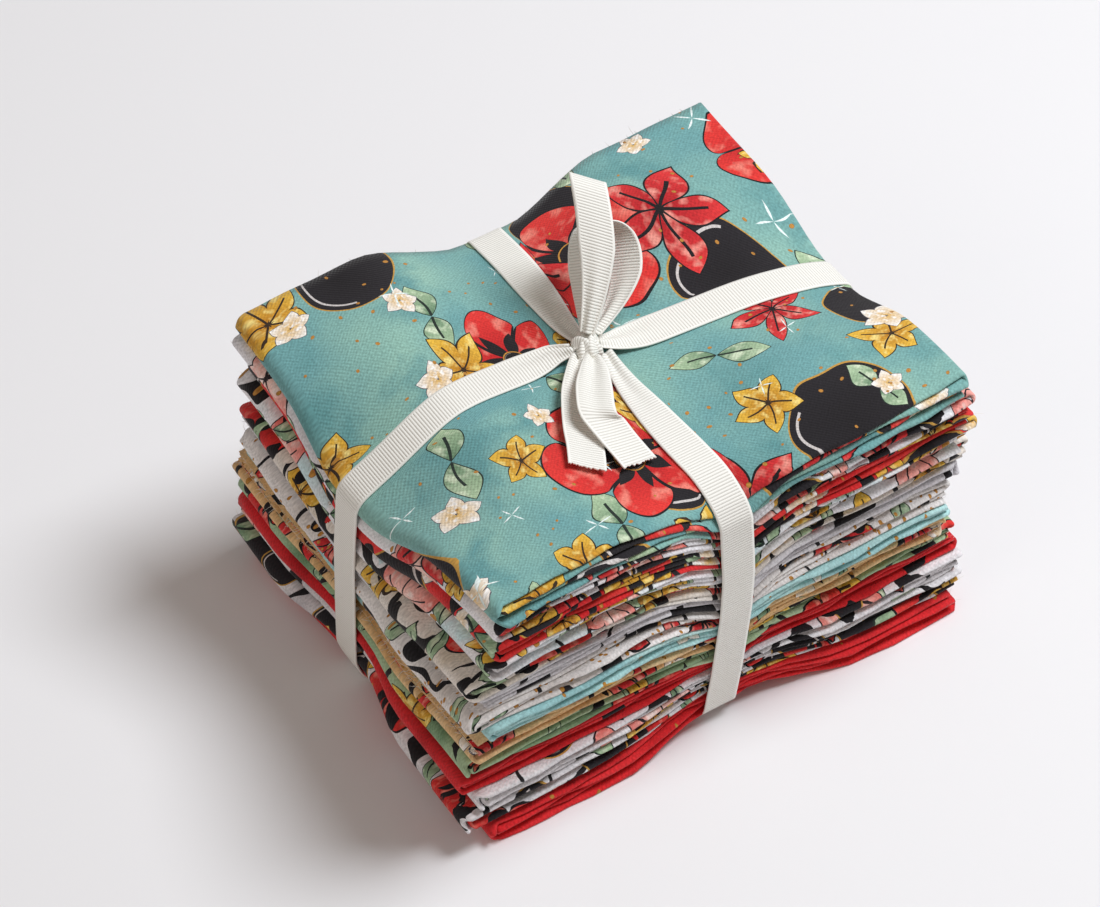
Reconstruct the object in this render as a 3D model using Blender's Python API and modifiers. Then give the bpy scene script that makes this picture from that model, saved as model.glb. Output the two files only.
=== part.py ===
"""A fat quarter bundle: fourteen folded cotton fat quarters, stacked and tied both ways with a ribbon.

Each fat quarter is a sheet of 559 x 457 mm. It is folded in four lengthways, which leaves a long pad
of four plies with a rounded fold along the front, and that pad is then folded in half twice. Here the
pad is one solid, about 1 mm thick, that runs back and forth through its four panels.

X runs from the left face, where most of the outer folds are, to the right face with the small loops
and cut ends. Y runs from the front face to the back, Z is up, and the stack stands on z = 0.
"""

import math
from collections import namedtuple

import bmesh
import bpy
from mathutils import Vector

# Driving dimensions of the stack
MM = 0.001
FOLDED_LENGTH = 140 * MM
FOLDED_WIDTH = 114 * MM
STACK_HEIGHT = 86 * MM
PAD_THICKNESS = 1.02 * MM
PIECE_GAP = 0.32 * MM

# The folds and lips of one folded pad
PANELS = 4
OUTER_FOLD_STEPS = 5
INNER_FOLD_STEPS = 3
INNER_FOLD_DEPTH = 0.75 * MM
SMALL_FOLD_DEPTH = 0.85 * MM
OUTER_CUT_INSET = 1.6 * MM
INNER_CUT_INSET = 0.9 * MM
LIP_DEPTH = 0.5 * MM
LIP_THINNING = 0.35

# The rows of a pad's lattice along Y: the lip's tip, the front, four inner rows and the back
PAD_ROWS = 7
LIP_TIP, FRONT, BACK = 0, 1, 6

# Where the two bands of the ribbon cross the edges of the stack, and how wide their grooves are
TIE_X_FRONT = 1.0 * MM
TIE_X_KNOT = -4.0 * MM
TIE_X_BACK = 0.5 * MM
TIE_Y_LEFT = 6.5 * MM
TIE_Y_KNOT = 0.5 * MM
TIE_Y_RIGHT = -5.5 * MM
GROOVE_HALF_WIDTH = 6.5 * MM
GROOVE_MARGIN = 0.1 * MM
SHOULDER_X = 36 * MM
SHOULDER_Y_FRONT = 33 * MM
SHOULDER_Y_BACK = 35 * MM
EDGE_KEEP = 0.3
EDGE_PUSH = 2.2 * MM
LEFT_EDGE_PUSH = 0.2 * MM
PLACING_ROUNDS = 2

# The ribbon
RIBBON_WIDTH = 9.5 * MM
RIBBON_THICKNESS = 1.0 * MM
RIBBON_GAP = 0.35 * MM
KNOT_SIZE = (8.0 * MM, 8.5 * MM, 6.0 * MM)
KNOT_ROUNDING = 2.2 * MM
KNOT_END_WIDTH = 5.5 * MM
BAND_TAPER = 18 * MM
CORNER_STEP = math.radians(24)
BAND_MIN_STEP = 0.7 * MM
BAND_MAX_STEP = 16 * MM
LOOP_STEPS = 26
LOOP_PARTING = 0.85 * MM
TIP_CLOSING = 0.6
TAIL_STEPS = 3

# The two bow loops: root and tip are reaches from the knot in mm, across is the way the ribbon's width
# runs, swell is the way the loop opens, bulge how far it does so, widening how soon it is full width
Loop = namedtuple("Loop", "root tip across swell bulge widening")
LOOPS = {
    "ribbon_loop_tall": Loop((1.6, 2.6, 5.0), (14.2, 23.6, 20.5), (0.691, -0.697, -0.191),
                             (-0.33, -0.54, 0.77), 4.2, 1.25),
    "ribbon_loop_round": Loop((4.8, 4.9, 1.3), (14.2, 18.6, 9.0), (0.12, -0.74, 0.66),
                              (0.785, -0.609, -0.059), 7.6, 1.25),
}

# The two tails: x and y from the knot in mm, rise over the cloth, angle of the width in degrees from X,
# and the width itself
TailRow = namedtuple("TailRow", "x y rise angle width")
TAILS = {
    "ribbon_tail_left": [
        TailRow(-5.6, -1.8, 3.6, -52, 5.0),
        TailRow(-11.0, -12.5, 3.2, -46, 7.6),
        TailRow(-16.5, -21.5, 2.7, -43, 9.5),
        TailRow(-21.0, -29.5, 2.0, -42, 9.5),
    ],
    "ribbon_tail_right": [
        TailRow(-1.6, -5.6, 4.4, -42, 5.0),
        TailRow(-7.5, -14.5, 6.4, -42, 8.5),
        TailRow(-11.2, -21.5, 6.8, -36, 9.5),
        TailRow(-10.6, -29.0, 4.4, -12, 9.5),
        TailRow(-9.8, -38.0, 1.6, 0, 9.5),
    ],
}

# The fourteen pieces, top to bottom. height is the share of the stack in mm. The next four are how far
# an edge stands out (+) or back (-) from the nominal outline, in mm; turn is the extra stand-out of the
# left edge at its back end. lips are the stand-outs of the four panels at the front, bottom first.
FatQuarter = namedtuple("FatQuarter", "colour height left right front back turn lips outer_fold flipped")
FAT_QUARTERS = [
    FatQuarter("teal", 6.3, -1.4, -1.0, 1.0, 2.6, 1.6, (1.6, 0.2, 0.4, -0.6), "left", False),
    FatQuarter("white_coral", 6.2, -1.0, 0.4, 1.4, 3.0, 2.2, (0.4, -0.8, 0.9, 0.2), "left", False),
    FatQuarter("red", 5.9, -1.6, 1.6, 1.8, -0.6, -0.4, (0.8, 0.0, -0.9, 0.5), "left", True),
    FatQuarter("white_leaf", 7.0, 0.2, -1.2, 1.6, 1.8, 0.6, (0.6, -1.4, -0.2, 0.9), "left", False),
    FatQuarter("white_red", 5.9, 3.6, 1.6, -0.8, -2.0, -3.0, (0.4, 0.9, -0.6, 0.2), "left", False),
    FatQuarter("grey", 5.9, 1.2, -1.0, -0.4, -0.4, -0.6, (-0.7, 0.6, -0.2, 0.8), "right", False),
    FatQuarter("white_gold", 6.2, 4.2, -3.8, 0.2, -1.2, -3.4, (0.9, -0.4, 0.5, -0.6), "left", False),
    FatQuarter("aqua", 5.8, 0.6, -3.6, 1.0, -0.8, 0.4, (-0.4, 1.2, 0.0, 1.3), "left", True),
    FatQuarter("beige", 5.9, 3.8, -4.4, 0.0, 2.4, -1.0, (0.7, -0.5, 1.0, -0.2), "right", True),
    FatQuarter("green_black", 5.8, 4.6, -0.8, -1.0, 0.0, -3.0, (0.2, 0.8, -0.7, -0.1), "left", False),
    FatQuarter("red_dark", 5.9, 5.8, 0.8, -1.2, 0.2, -4.0, (0.9, -0.9, 0.3, 0.9), "left", True),
    FatQuarter("white_line", 6.1, 3.0, 1.0, 0.4, 1.4, -1.4, (-0.5, 0.8, -1.0, 0.6), "left", False),
    FatQuarter("black_red", 6.4, 6.2, 1.4, -1.8, 2.8, -3.4, (0.2, 1.0, -0.4, 0.9), "left", False),
    FatQuarter("bright_red", 6.7, 1.0, -0.6, 3.4, -1.6, -0.4, (0.8, -1.1, 0.5, -0.6), "left", True),
]

# How far the ribbon pulls the top of the stack down, in mm, at the crossings of six columns along X
# and six rows along Y. The middle two of each are the two sides of a groove.
COLUMN_NAMES = "left left_shoulder groove_left groove_right right_shoulder right"
DipRow = namedtuple("DipRow", COLUMN_NAMES)
TOP_DIP = [
    DipRow(2.2, 0.4, 6.5, 6.5, 2.4, 1.0),
    DipRow(4.0, -0.6, 3.8, 3.8, -0.2, 2.0),
    DipRow(11.8, 3.6, 3.4, 3.4, 3.0, 7.4),
    DipRow(11.8, 3.6, 3.4, 3.4, 3.0, 7.4),
    DipRow(3.8, -0.2, 4.8, 4.8, 0.0, 2.4),
    DipRow(2.6, 1.4, 9.6, 9.6, 2.2, 1.4),
]

# How far the ribbon lifts the underside off the surface, in mm, at the same crossings
BOTTOM_LIFT = [
    DipRow(0.0, 0.0, 4.6, 4.6, 0.0, 0.0),
    DipRow(0.0, 0.0, 3.7, 3.7, 0.0, 0.0),
    DipRow(1.9, 1.9, 3.6, 3.6, 1.9, 1.9),
    DipRow(1.9, 1.9, 3.6, 3.6, 1.9, 1.9),
    DipRow(0.0, 0.0, 3.3, 3.3, 0.0, 0.0),
    DipRow(0.0, 0.0, 3.2, 3.2, 0.0, 0.0),
]

Finish = namedtuple("Finish", "red green blue")
FINISHES = {
    "teal": Finish(0.16, 0.40, 0.38),
    "white_coral": Finish(0.78, 0.70, 0.70),
    "red": Finish(0.62, 0.02, 0.03),
    "white_leaf": Finish(0.75, 0.76, 0.72),
    "white_red": Finish(0.74, 0.62, 0.48),
    "grey": Finish(0.58, 0.57, 0.57),
    "white_gold": Finish(0.76, 0.72, 0.67),
    "aqua": Finish(0.42, 0.66, 0.66),
    "beige": Finish(0.66, 0.48, 0.28),
    "green_black": Finish(0.22, 0.28, 0.17),
    "red_dark": Finish(0.58, 0.01, 0.03),
    "white_line": Finish(0.74, 0.72, 0.72),
    "black_red": Finish(0.10, 0.02, 0.02),
    "bright_red": Finish(0.66, 0.01, 0.02),
    "ribbon": Finish(0.86, 0.85, 0.80),
}


def clear_scene():
    for item in list(bpy.data.objects):
        bpy.data.objects.remove(item, do_unlink=True)


def cloth_material(name, finish):
    material = bpy.data.materials.new(name)
    material.use_nodes = True
    shader = material.node_tree.nodes["Principled BSDF"]
    shader.inputs["Base Color"].default_value = (finish.red, finish.green, finish.blue, 1)
    shader.inputs["Roughness"].default_value = 0.9
    shader.inputs["Metallic"].default_value = 0.0
    return material


def between(value, start, end, at_start, at_end):
    return at_start + (at_end - at_start) * (value - start) / (end - start)


# The grid that the ribbon's pull follows

def tie_x(y):
    """X of the band that runs along Y; it bends slightly at the knot."""
    if y < TIE_Y_KNOT:
        return between(y, -FOLDED_WIDTH / 2, TIE_Y_KNOT, TIE_X_FRONT, TIE_X_KNOT)
    return between(y, TIE_Y_KNOT, FOLDED_WIDTH / 2, TIE_X_KNOT, TIE_X_BACK)


def tie_y(x):
    """Y of the band that runs along X."""
    if x < TIE_X_KNOT:
        return between(x, -FOLDED_LENGTH / 2, TIE_X_KNOT, TIE_Y_LEFT, TIE_Y_KNOT)
    return between(x, TIE_X_KNOT, FOLDED_LENGTH / 2, TIE_Y_KNOT, TIE_Y_RIGHT)


def column_lines(y):
    middle = tie_x(y)
    return [
        -FOLDED_LENGTH / 2,
        -SHOULDER_X,
        middle - GROOVE_HALF_WIDTH,
        middle + GROOVE_HALF_WIDTH,
        SHOULDER_X,
        FOLDED_LENGTH / 2,
    ]


def row_lines(x):
    middle = tie_y(x)
    return [
        -FOLDED_WIDTH / 2,
        -SHOULDER_Y_FRONT,
        middle - GROOVE_HALF_WIDTH,
        middle + GROOVE_HALF_WIDTH,
        SHOULDER_Y_BACK,
        FOLDED_WIDTH / 2,
    ]


def place_on(lines, value):
    """The cell that holds a value, and how far across it the value lies; the end cells reach on."""
    cell = 0
    while cell < len(lines) - 2 and value > lines[cell + 1]:
        cell += 1
    return cell, (value - lines[cell]) / (lines[cell + 1] - lines[cell])


def read_table(table, x, y):
    column, across = place_on(column_lines(y), x)
    row, along = place_on(row_lines(x), y)
    near = between(across, 0, 1, table[row][column], table[row][column + 1])
    far = between(across, 0, 1, table[row + 1][column], table[row + 1][column + 1])
    return between(along, 0, 1, near, far) * MM


def squeezed(x, y, z):
    """A point of the plain stack, moved to where the ribbon pulls it."""
    top = STACK_HEIGHT - read_table(TOP_DIP, x, y)
    bottom = read_table(BOTTOM_LIFT, x, y)
    return Vector((x, y, between(z, 0, STACK_HEIGHT, bottom, top)))


def groove_share(value, middle, shoulder):
    """1 under the ribbon, falling to 0 at the shoulder of its groove."""
    distance = abs(value - middle)
    return 1 - min(1, max(0, (distance - GROOVE_HALF_WIDTH) / (shoulder - GROOVE_HALF_WIDTH)))


def stand_out(amount, share, push=EDGE_PUSH):
    """An edge's stand-out: what it has by itself, and what is left of it under the ribbon."""
    return between(share, 0, 1, amount, amount * EDGE_KEEP - push)


# One folded pad

SectionNode = namedtuple("SectionNode", "column side inset height normal_x normal_z panel")


def panel_nodes(height, level, face, toward):
    """The four inner nodes of one flat panel, in the order in which the cloth runs."""
    columns = [1, 2, 3, 4]
    if toward < 0:
        columns.reverse()
    return [SectionNode(column, 0, 0, height, 0, face, level) for column in columns]


def fold_nodes(start, end, level_start, level_end, side, face, depth, steps):
    """A rounded fold at one side of the stack, from one panel to another."""
    middle = (start + end) / 2
    half = abs(end - start) / 2
    upward = math.copysign(1, start - middle)
    outward = face * upward
    nodes = []
    for step in range(steps + 1):
        turn = math.pi * step / steps
        normal = Vector((side * math.sin(turn) / depth, upward * math.cos(turn) / half)).normalized()
        nodes.append(SectionNode(
            column=None,
            side=side,
            inset=depth * (1 - math.sin(turn)),
            height=middle + (start - middle) * math.cos(turn),
            normal_x=outward * normal.x,
            normal_z=outward * normal.y,
            panel=between(step, 0, steps, level_start, level_end),
        ))
    return nodes


def cut_end(height, level, side, face, inset):
    return SectionNode(None, side, inset, height, 0, face, level)


def folded_section(quarter, base):
    """The nodes of the folded pad in its section, from one cut end to the other."""
    usable = quarter.height * MM - PIECE_GAP
    step = (usable - PAD_THICKNESS) / (PANELS - 1)
    levels = list(range(PANELS))
    first_face = -1
    if quarter.flipped:
        levels.reverse()
        first_face = 1
    height = [base + PAD_THICKNESS / 2 + step * level for level in range(PANELS)]
    closed = -1 if quarter.outer_fold == "left" else 1
    outer, second, third, last = levels
    outer_depth = abs(height[last] - height[outer]) * 0.5
    side_inset = outer_depth - INNER_FOLD_DEPTH

    nodes = [cut_end(height[outer], outer, -closed, first_face, OUTER_CUT_INSET)]
    nodes += panel_nodes(height[outer], outer, first_face, closed)
    nodes += fold_nodes(height[outer], height[last], outer, last, closed, first_face,
                        outer_depth, OUTER_FOLD_STEPS)
    nodes += panel_nodes(height[last], last, -first_face, -closed)
    nodes += fold_nodes(height[last], height[third], last, third, -closed, -first_face,
                        SMALL_FOLD_DEPTH, INNER_FOLD_STEPS)
    nodes += panel_nodes(height[third], third, first_face, closed)
    inner = fold_nodes(height[third], height[second], third, second, closed, first_face,
                       INNER_FOLD_DEPTH, INNER_FOLD_STEPS)
    nodes += [node._replace(inset=node.inset + side_inset) for node in inner]
    nodes += panel_nodes(height[second], second, -first_face, -closed)
    nodes.append(cut_end(height[second], second, -closed, -first_face, INNER_CUT_INSET))
    return nodes


def lip_stand_out(quarter, panel):
    lower = min(int(panel), PANELS - 2)
    return between(panel, lower, lower + 1, quarter.lips[lower], quarter.lips[lower + 1])


def pad_point(quarter, node, row, face):
    """One corner of the pad's lattice: face is +1 or -1 for its two sides, 0 for its middle."""
    y = row_lines(0)[max(row - 1, 0)]
    for _ in range(PLACING_ROUNDS):
        if node.column is None:
            share = groove_share(y, tie_y(node.side * FOLDED_LENGTH / 2), SHOULDER_Y_FRONT)
            own, push = quarter.right, EDGE_PUSH
            if node.side < 0:
                own, push = quarter.left + quarter.turn * y / FOLDED_WIDTH, LEFT_EDGE_PUSH
            reach = FOLDED_LENGTH / 2 + stand_out(own * MM, share, push) - node.inset
            x = node.side * reach
        else:
            x = column_lines(y)[node.column]
        y = pad_row(quarter, node, row, x)
    thickness = PAD_THICKNESS * (LIP_THINNING if row == LIP_TIP else 1)
    x += face * node.normal_x * thickness / 2
    z = node.height + face * node.normal_z * thickness / 2
    return squeezed(x, y, z)


def pad_row(quarter, node, row, x):
    """Y of a lattice point in one of the pad's rows."""
    if FRONT < row < BACK:
        return row_lines(x)[row - 1]
    if row == BACK:
        share = groove_share(x, TIE_X_BACK, SHOULDER_X)
        return FOLDED_WIDTH / 2 + stand_out(quarter.back * MM, share)
    share = groove_share(x, TIE_X_FRONT, SHOULDER_X)
    own = (quarter.front + lip_stand_out(quarter, node.panel)) * MM
    tip = -FOLDED_WIDTH / 2 - stand_out(own, share)
    return tip + row * LIP_DEPTH


def matched_quad(mesh, a, b, c, d):
    """Two triangles that share the diagonal rising in both X and Y, so that stacked pads match."""
    across = c.co - a.co
    if across.x * across.y > 0:
        mesh.faces.new((a, b, c))
        mesh.faces.new((a, c, d))
    else:
        mesh.faces.new((a, b, d))
        mesh.faces.new((b, c, d))


def lattice_solid(name, upper, lower, collection, material):
    """A sheet with thickness: two equal lattices of points, joined all round their rims."""
    mesh = bmesh.new()
    top = [[mesh.verts.new(point) for point in line] for line in upper]
    bottom = [[mesh.verts.new(point) for point in line] for line in lower]
    lines = len(top)
    points = len(top[0])
    for side in (top, bottom):
        for i in range(lines - 1):
            for j in range(points - 1):
                matched_quad(mesh, side[i][j], side[i + 1][j], side[i + 1][j + 1], side[i][j + 1])
    for i in range(lines - 1):
        for j in (0, points - 1):
            matched_quad(mesh, top[i][j], top[i + 1][j], bottom[i + 1][j], bottom[i][j])
    for j in range(points - 1):
        for i in (0, lines - 1):
            matched_quad(mesh, top[i][j], top[i][j + 1], bottom[i][j + 1], bottom[i][j])
    bmesh.ops.recalc_face_normals(mesh, faces=mesh.faces)
    data = bpy.data.meshes.new(name)
    mesh.to_mesh(data)
    mesh.free()
    data.materials.append(material)
    solid = bpy.data.objects.new(name, data)
    collection.objects.link(solid)
    return solid


def build_fat_quarters(collection):
    solids = []
    base = STACK_HEIGHT + PIECE_GAP
    for number, quarter in enumerate(FAT_QUARTERS, start=1):
        base -= quarter.height * MM
        if quarter is FAT_QUARTERS[-1]:
            base = 0
        nodes = folded_section(quarter, base)
        upper = [[pad_point(quarter, node, row, 1) for row in range(PAD_ROWS)] for node in nodes]
        lower = [[pad_point(quarter, node, row, -1) for row in range(PAD_ROWS)] for node in nodes]
        material = cloth_material(quarter.colour, FINISHES[quarter.colour])
        name = f"fat_quarter_{number:02d}_{quarter.colour}"
        solids.append(lattice_solid(name, upper, lower, collection, material))
    return solids


# The ribbon's two bands

def band_outline(solids, along):
    """The taut line round the stack in a band's plane: the hull of the cloth that lies under it."""
    points = []
    for solid in solids:
        for vertex in solid.data.vertices:
            x, y, z = vertex.co
            if along == "x" and abs(y - tie_y(x)) < GROOVE_HALF_WIDTH + GROOVE_MARGIN:
                points.append((x, z))
            if along == "y" and abs(x - tie_x(y)) < GROOVE_HALF_WIDTH + GROOVE_MARGIN:
                points.append((y, z))
    return hull(points)


def hull(points):
    """Counter-clockwise convex hull of points in a plane."""
    ordered = sorted(set(points))
    halves = []
    for sequence in (ordered, ordered[::-1]):
        chain = []
        for point in sequence:
            while len(chain) > 1 and turn_of(chain[-2], chain[-1], point) <= 1e-12:
                chain.pop()
            chain.append(point)
        halves.append(chain[:-1])
    return [Vector(point) for point in halves[0] + halves[1]]


def turn_of(a, b, c):
    return (b[0] - a[0]) * (c[1] - a[1]) - (b[1] - a[1]) * (c[0] - a[0])


def grown(outline, distance):
    """A hull pushed outward, with its corners rounded."""
    path = []
    count = len(outline)
    for index in range(count):
        before = (outline[index] - outline[index - 1]).normalized()
        after = (outline[(index + 1) % count] - outline[index]).normalized()
        turn = math.atan2(before.x * after.y - before.y * after.x, before.dot(after))
        steps = max(1, round(turn / CORNER_STEP))
        for step in range(steps + 1):
            angle = math.atan2(before.y, before.x) + turn * step / steps - math.pi / 2
            path.append(outline[index] + distance * Vector((math.cos(angle), math.sin(angle))))
    return path


def band_path(solids, along, knot_place, knot_reach):
    """The band's middle line: down one side of the knot, round the stack and back up to the knot."""
    outline = grown(band_outline(solids, along), RIBBON_GAP + RIBBON_THICKNESS / 2)
    middle = Vector((knot_place, STACK_HEIGHT / 2))

    def turn_from_top(point):
        return math.atan2(middle.x - point.x, point.y - middle.y) % (2 * math.pi)

    ordered = sorted(outline, key=turn_from_top)
    clear = [p for p in ordered if p.y < middle.y or abs(p.x - knot_place) > knot_reach]
    first = meeting_point(ordered[-1], ordered[0], knot_place - knot_reach)
    last = meeting_point(ordered[-1], ordered[0], knot_place + knot_reach)
    return spaced([first] + clear + [last])


def meeting_point(right, left, x):
    return Vector((x, between(x, left.x, right.x, left.y, right.y)))


def spaced(path):
    """Drop points that crowd together and cut the long straight runs."""
    points = [path[0]]
    for point in path[1:]:
        run = point - points[-1]
        if run.length < BAND_MIN_STEP:
            continue
        pieces = math.ceil(run.length / BAND_MAX_STEP)
        start = points[-1]
        points += [start + run * step / pieces for step in range(1, pieces + 1)]
    return points


def strip_solid(name, stations, collection, material):
    """A strip of ribbon. Each station holds its two edge points and the way out of its upper face."""
    upper = []
    lower = []
    for near, far, out in stations:
        upper.append([near + out * RIBBON_THICKNESS / 2, far + out * RIBBON_THICKNESS / 2])
        lower.append([near - out * RIBBON_THICKNESS / 2, far - out * RIBBON_THICKNESS / 2])
    return lattice_solid(name, upper, lower, collection, material)


def faced(edges):
    """Add to each pair of edge points the direction at right angles to the strip there."""
    stations = []
    for index, (near, far) in enumerate(edges):
        before = edges[max(index - 1, 0)]
        after = edges[min(index + 1, len(edges) - 1)]
        run = (after[0] + after[1]) - (before[0] + before[1])
        stations.append((near, far, (far - near).cross(run).normalized()))
    return stations


def band_edges(path, along):
    """Edge points of a band; it narrows where it runs into the knot."""
    run = 0
    total = sum((b - a).length for a, b in zip(path, path[1:]))
    edges = []
    for index, point in enumerate(path):
        if index:
            run += (point - path[index - 1]).length
        from_knot = min(run, total - run, BAND_TAPER)
        half = between(from_knot, 0, BAND_TAPER, KNOT_END_WIDTH, RIBBON_WIDTH) / 2
        if along == "x":
            middle = Vector((point.x, tie_y(point.x), point.y))
            across = Vector((0, 1, 0))
        else:
            middle = Vector((tie_x(point.x), point.x, point.y))
            across = Vector((1, 0, 0))
        edges.append((middle - across * half, middle + across * half))
    return edges


def build_bands(solids, collection, material):
    bands = []
    for name, along, place, reach in (
        ("ribbon_band_across", "x", TIE_X_KNOT, KNOT_SIZE[0] / 2 + RIBBON_GAP),
        ("ribbon_band_along", "y", TIE_Y_KNOT, KNOT_SIZE[1] / 2 + RIBBON_GAP),
    ):
        path = band_path(solids, along, place, reach)
        bands.append(strip_solid(name, faced(band_edges(path, along)), collection, material))
    return bands


# The knot and the bow

def knot_middle():
    seat = squeezed(TIE_X_KNOT, TIE_Y_KNOT, STACK_HEIGHT)
    return seat + Vector((0, 0, RIBBON_GAP + KNOT_SIZE[2] / 2))


def build_knot(collection, material):
    mesh = bmesh.new()
    bmesh.ops.create_cube(mesh, size=1)
    bmesh.ops.scale(mesh, vec=KNOT_SIZE, verts=mesh.verts)
    data = bpy.data.meshes.new("ribbon_knot")
    mesh.to_mesh(data)
    mesh.free()
    data.materials.append(material)
    knot = bpy.data.objects.new("ribbon_knot", data)
    knot.location = knot_middle()
    collection.objects.link(knot)
    rounding = knot.modifiers.new("rounding", "BEVEL")
    rounding.width = KNOT_ROUNDING
    rounding.segments = 3
    return knot


def teardrop_edges(loop):
    """Edge points of a bow loop: out from the knot along one side, over the tip and back."""
    root = knot_middle() + Vector(loop.root) * MM
    tip = Vector(loop.tip) * MM
    across = Vector(loop.across).normalized()
    swell = Vector(loop.swell).normalized()
    edges = []
    for step in range(LOOP_STEPS + 1):
        turn = 2 * math.pi * step / LOOP_STEPS
        along = (1 - math.cos(turn)) / 2
        side = math.copysign(1, math.pi - turn)
        bulge = math.sin(turn) * math.sin(turn / 2) * loop.bulge * MM
        parting = side * LOOP_PARTING * min(1, abs(math.pi - turn) / TIP_CLOSING)
        middle = root + tip * along + swell * (bulge + parting)
        half = between(along, 0, 1, KNOT_END_WIDTH, RIBBON_WIDTH * loop.widening) / 2
        half = min(half, RIBBON_WIDTH / 2)
        edges.append((middle - across * half, middle + across * half))
    return edges


def tail_edges(rows):
    """Edge points of a tail that lies over the top of the stack, from the knot to its cut end."""
    smooth = catmull_rows(rows, TAIL_STEPS)
    edges = []
    for row in smooth:
        half = row.width / 2
        offset_x = math.cos(math.radians(row.angle)) * half
        offset_y = math.sin(math.radians(row.angle)) * half
        pair = []
        for side in (-1, 1):
            x = TIE_X_KNOT + (row.x + side * offset_x) * MM
            y = TIE_Y_KNOT + (row.y + side * offset_y) * MM
            pair.append(squeezed(x, y, STACK_HEIGHT) + Vector((0, 0, row.rise * MM)))
        edges.append(tuple(pair))
    return edges


def catmull_rows(rows, steps):
    """Rows of numbers on a smooth curve through the given rows."""
    smooth = []
    last = len(rows) - 1
    for index in range(last):
        p0 = rows[max(index - 1, 0)]
        p1, p2 = rows[index], rows[index + 1]
        p3 = rows[min(index + 2, last)]
        for step in range(steps + (index == last - 1)):
            t = step / steps
            weights = (
                -0.5 * t + t ** 2 - 0.5 * t ** 3,
                1 - 2.5 * t ** 2 + 1.5 * t ** 3,
                0.5 * t + 2 * t ** 2 - 1.5 * t ** 3,
                -0.5 * t ** 2 + 0.5 * t ** 3,
            )
            mixed = [sum(w * value for w, value in zip(weights, column)) for column in zip(p0, p1, p2, p3)]
            smooth.append(type(p1)(*mixed))
    return smooth


def build_bow(collection, material):
    bow = [build_knot(collection, material)]
    for name, loop in LOOPS.items():
        bow.append(strip_solid(name, faced(teardrop_edges(loop)), collection, material))
    for name, rows in TAILS.items():
        bow.append(strip_solid(name, faced(tail_edges(rows)), collection, material))
    return bow


def centre_on_origin(solids):
    """Move all the solids so that the middle of the whole bundle stands on the origin."""
    corners = [solid.matrix_world @ vertex.co for solid in solids for vertex in solid.data.vertices]
    middle_x = (min(c.x for c in corners) + max(c.x for c in corners)) / 2
    middle_y = (min(c.y for c in corners) + max(c.y for c in corners)) / 2
    for solid in solids:
        solid.location -= Vector((middle_x, middle_y, 0))


def main():
    clear_scene()
    collection = bpy.data.collections.new("fat_quarter_bundle")
    bpy.context.scene.collection.children.link(collection)
    ribbon = cloth_material("ribbon", FINISHES["ribbon"])
    cloth = build_fat_quarters(collection)
    bands = build_bands(cloth, collection, ribbon)
    bow = build_bow(collection, ribbon)
    bpy.context.view_layer.update()
    centre_on_origin(cloth + bands + bow)


main()
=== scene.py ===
"""The looks of the fat quarter bundle: fourteen printed cottons, each folded from its full flat size on
the folds of its CAD solid, and tied both ways with a grosgrain ribbon and a small bow."""

import math
from collections import namedtuple
from functools import partial

import bpy
import numpy as np
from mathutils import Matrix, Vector


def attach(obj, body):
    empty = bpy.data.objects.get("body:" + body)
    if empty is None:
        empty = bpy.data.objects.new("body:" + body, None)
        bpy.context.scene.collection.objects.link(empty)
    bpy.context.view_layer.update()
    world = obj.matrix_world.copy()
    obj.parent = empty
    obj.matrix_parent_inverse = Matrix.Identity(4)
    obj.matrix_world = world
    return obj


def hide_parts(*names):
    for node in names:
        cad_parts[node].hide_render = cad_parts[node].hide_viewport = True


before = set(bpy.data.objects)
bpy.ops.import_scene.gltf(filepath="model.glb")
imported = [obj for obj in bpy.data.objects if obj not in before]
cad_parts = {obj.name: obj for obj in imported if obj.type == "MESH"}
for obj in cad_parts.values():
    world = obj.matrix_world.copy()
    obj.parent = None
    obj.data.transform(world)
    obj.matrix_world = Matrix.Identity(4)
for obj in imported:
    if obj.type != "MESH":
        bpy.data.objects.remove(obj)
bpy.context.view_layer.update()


# The camera
# A long lens about 1.3 m away looks down on the front left corner of the stack, as the photograph does.

STACK_CENTRE = Vector((0.0031, 0.0006, 0.043))
TOWARDS_CAMERA = Vector((-0.3727, -0.5696, 0.7325)).normalized()
CAMERA_REACH = 1.26
LENS_LENGTH = 163.6
PHOTO_WIDTH = 1100


def in_scene(name, data):
    """A new object in the scene, at the origin."""
    piece = bpy.data.objects.new(name, data)
    bpy.context.scene.collection.objects.link(piece)
    return piece


lens = bpy.data.cameras.new("camera")
lens.sensor_width = 36
lens.lens = LENS_LENGTH
lens.shift_x = -52 / PHOTO_WIDTH
lens.shift_y = 7.5 / PHOTO_WIDTH
camera = in_scene("camera", lens)
camera.location = STACK_CENTRE + TOWARDS_CAMERA * CAMERA_REACH
camera.rotation_euler = TOWARDS_CAMERA.to_track_quat("Z", "Y").to_euler()
bpy.context.scene.camera = camera


# The fat quarters
# Fourteen pieces of printed quilting cotton, each cut to 559 x 457 mm. Each is folded in four lengthways
# and the long pad then in half twice, so that its rounded folds face the front and one side.

FLAT_LENGTH = 559.0
FLAT_WIDTH = 457.0
CLOTH_THICKNESS = 0.22
PAD_THICKNESS = 1.2
PIECE_GAP = 0.22
FOLDED_LENGTH = 140.0
FOLDED_WIDTH = 114.0
HALF_LENGTH, HALF_WIDTH = FOLDED_LENGTH / 2, FOLDED_WIDTH / 2
STACK_HEIGHT = 86.0
FRAME_SHIFT = np.array((3.145, 0.6, 0.0))

INNER_FOLD_DEPTH = 0.75
SMALL_FOLD_DEPTH = 0.85
OUTER_FOLD_STEPS = 14
SMALL_FOLD_STEPS = 8
OUTER_CUT_INSET = 1.6
INNER_CUT_INSET = 0.9

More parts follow.
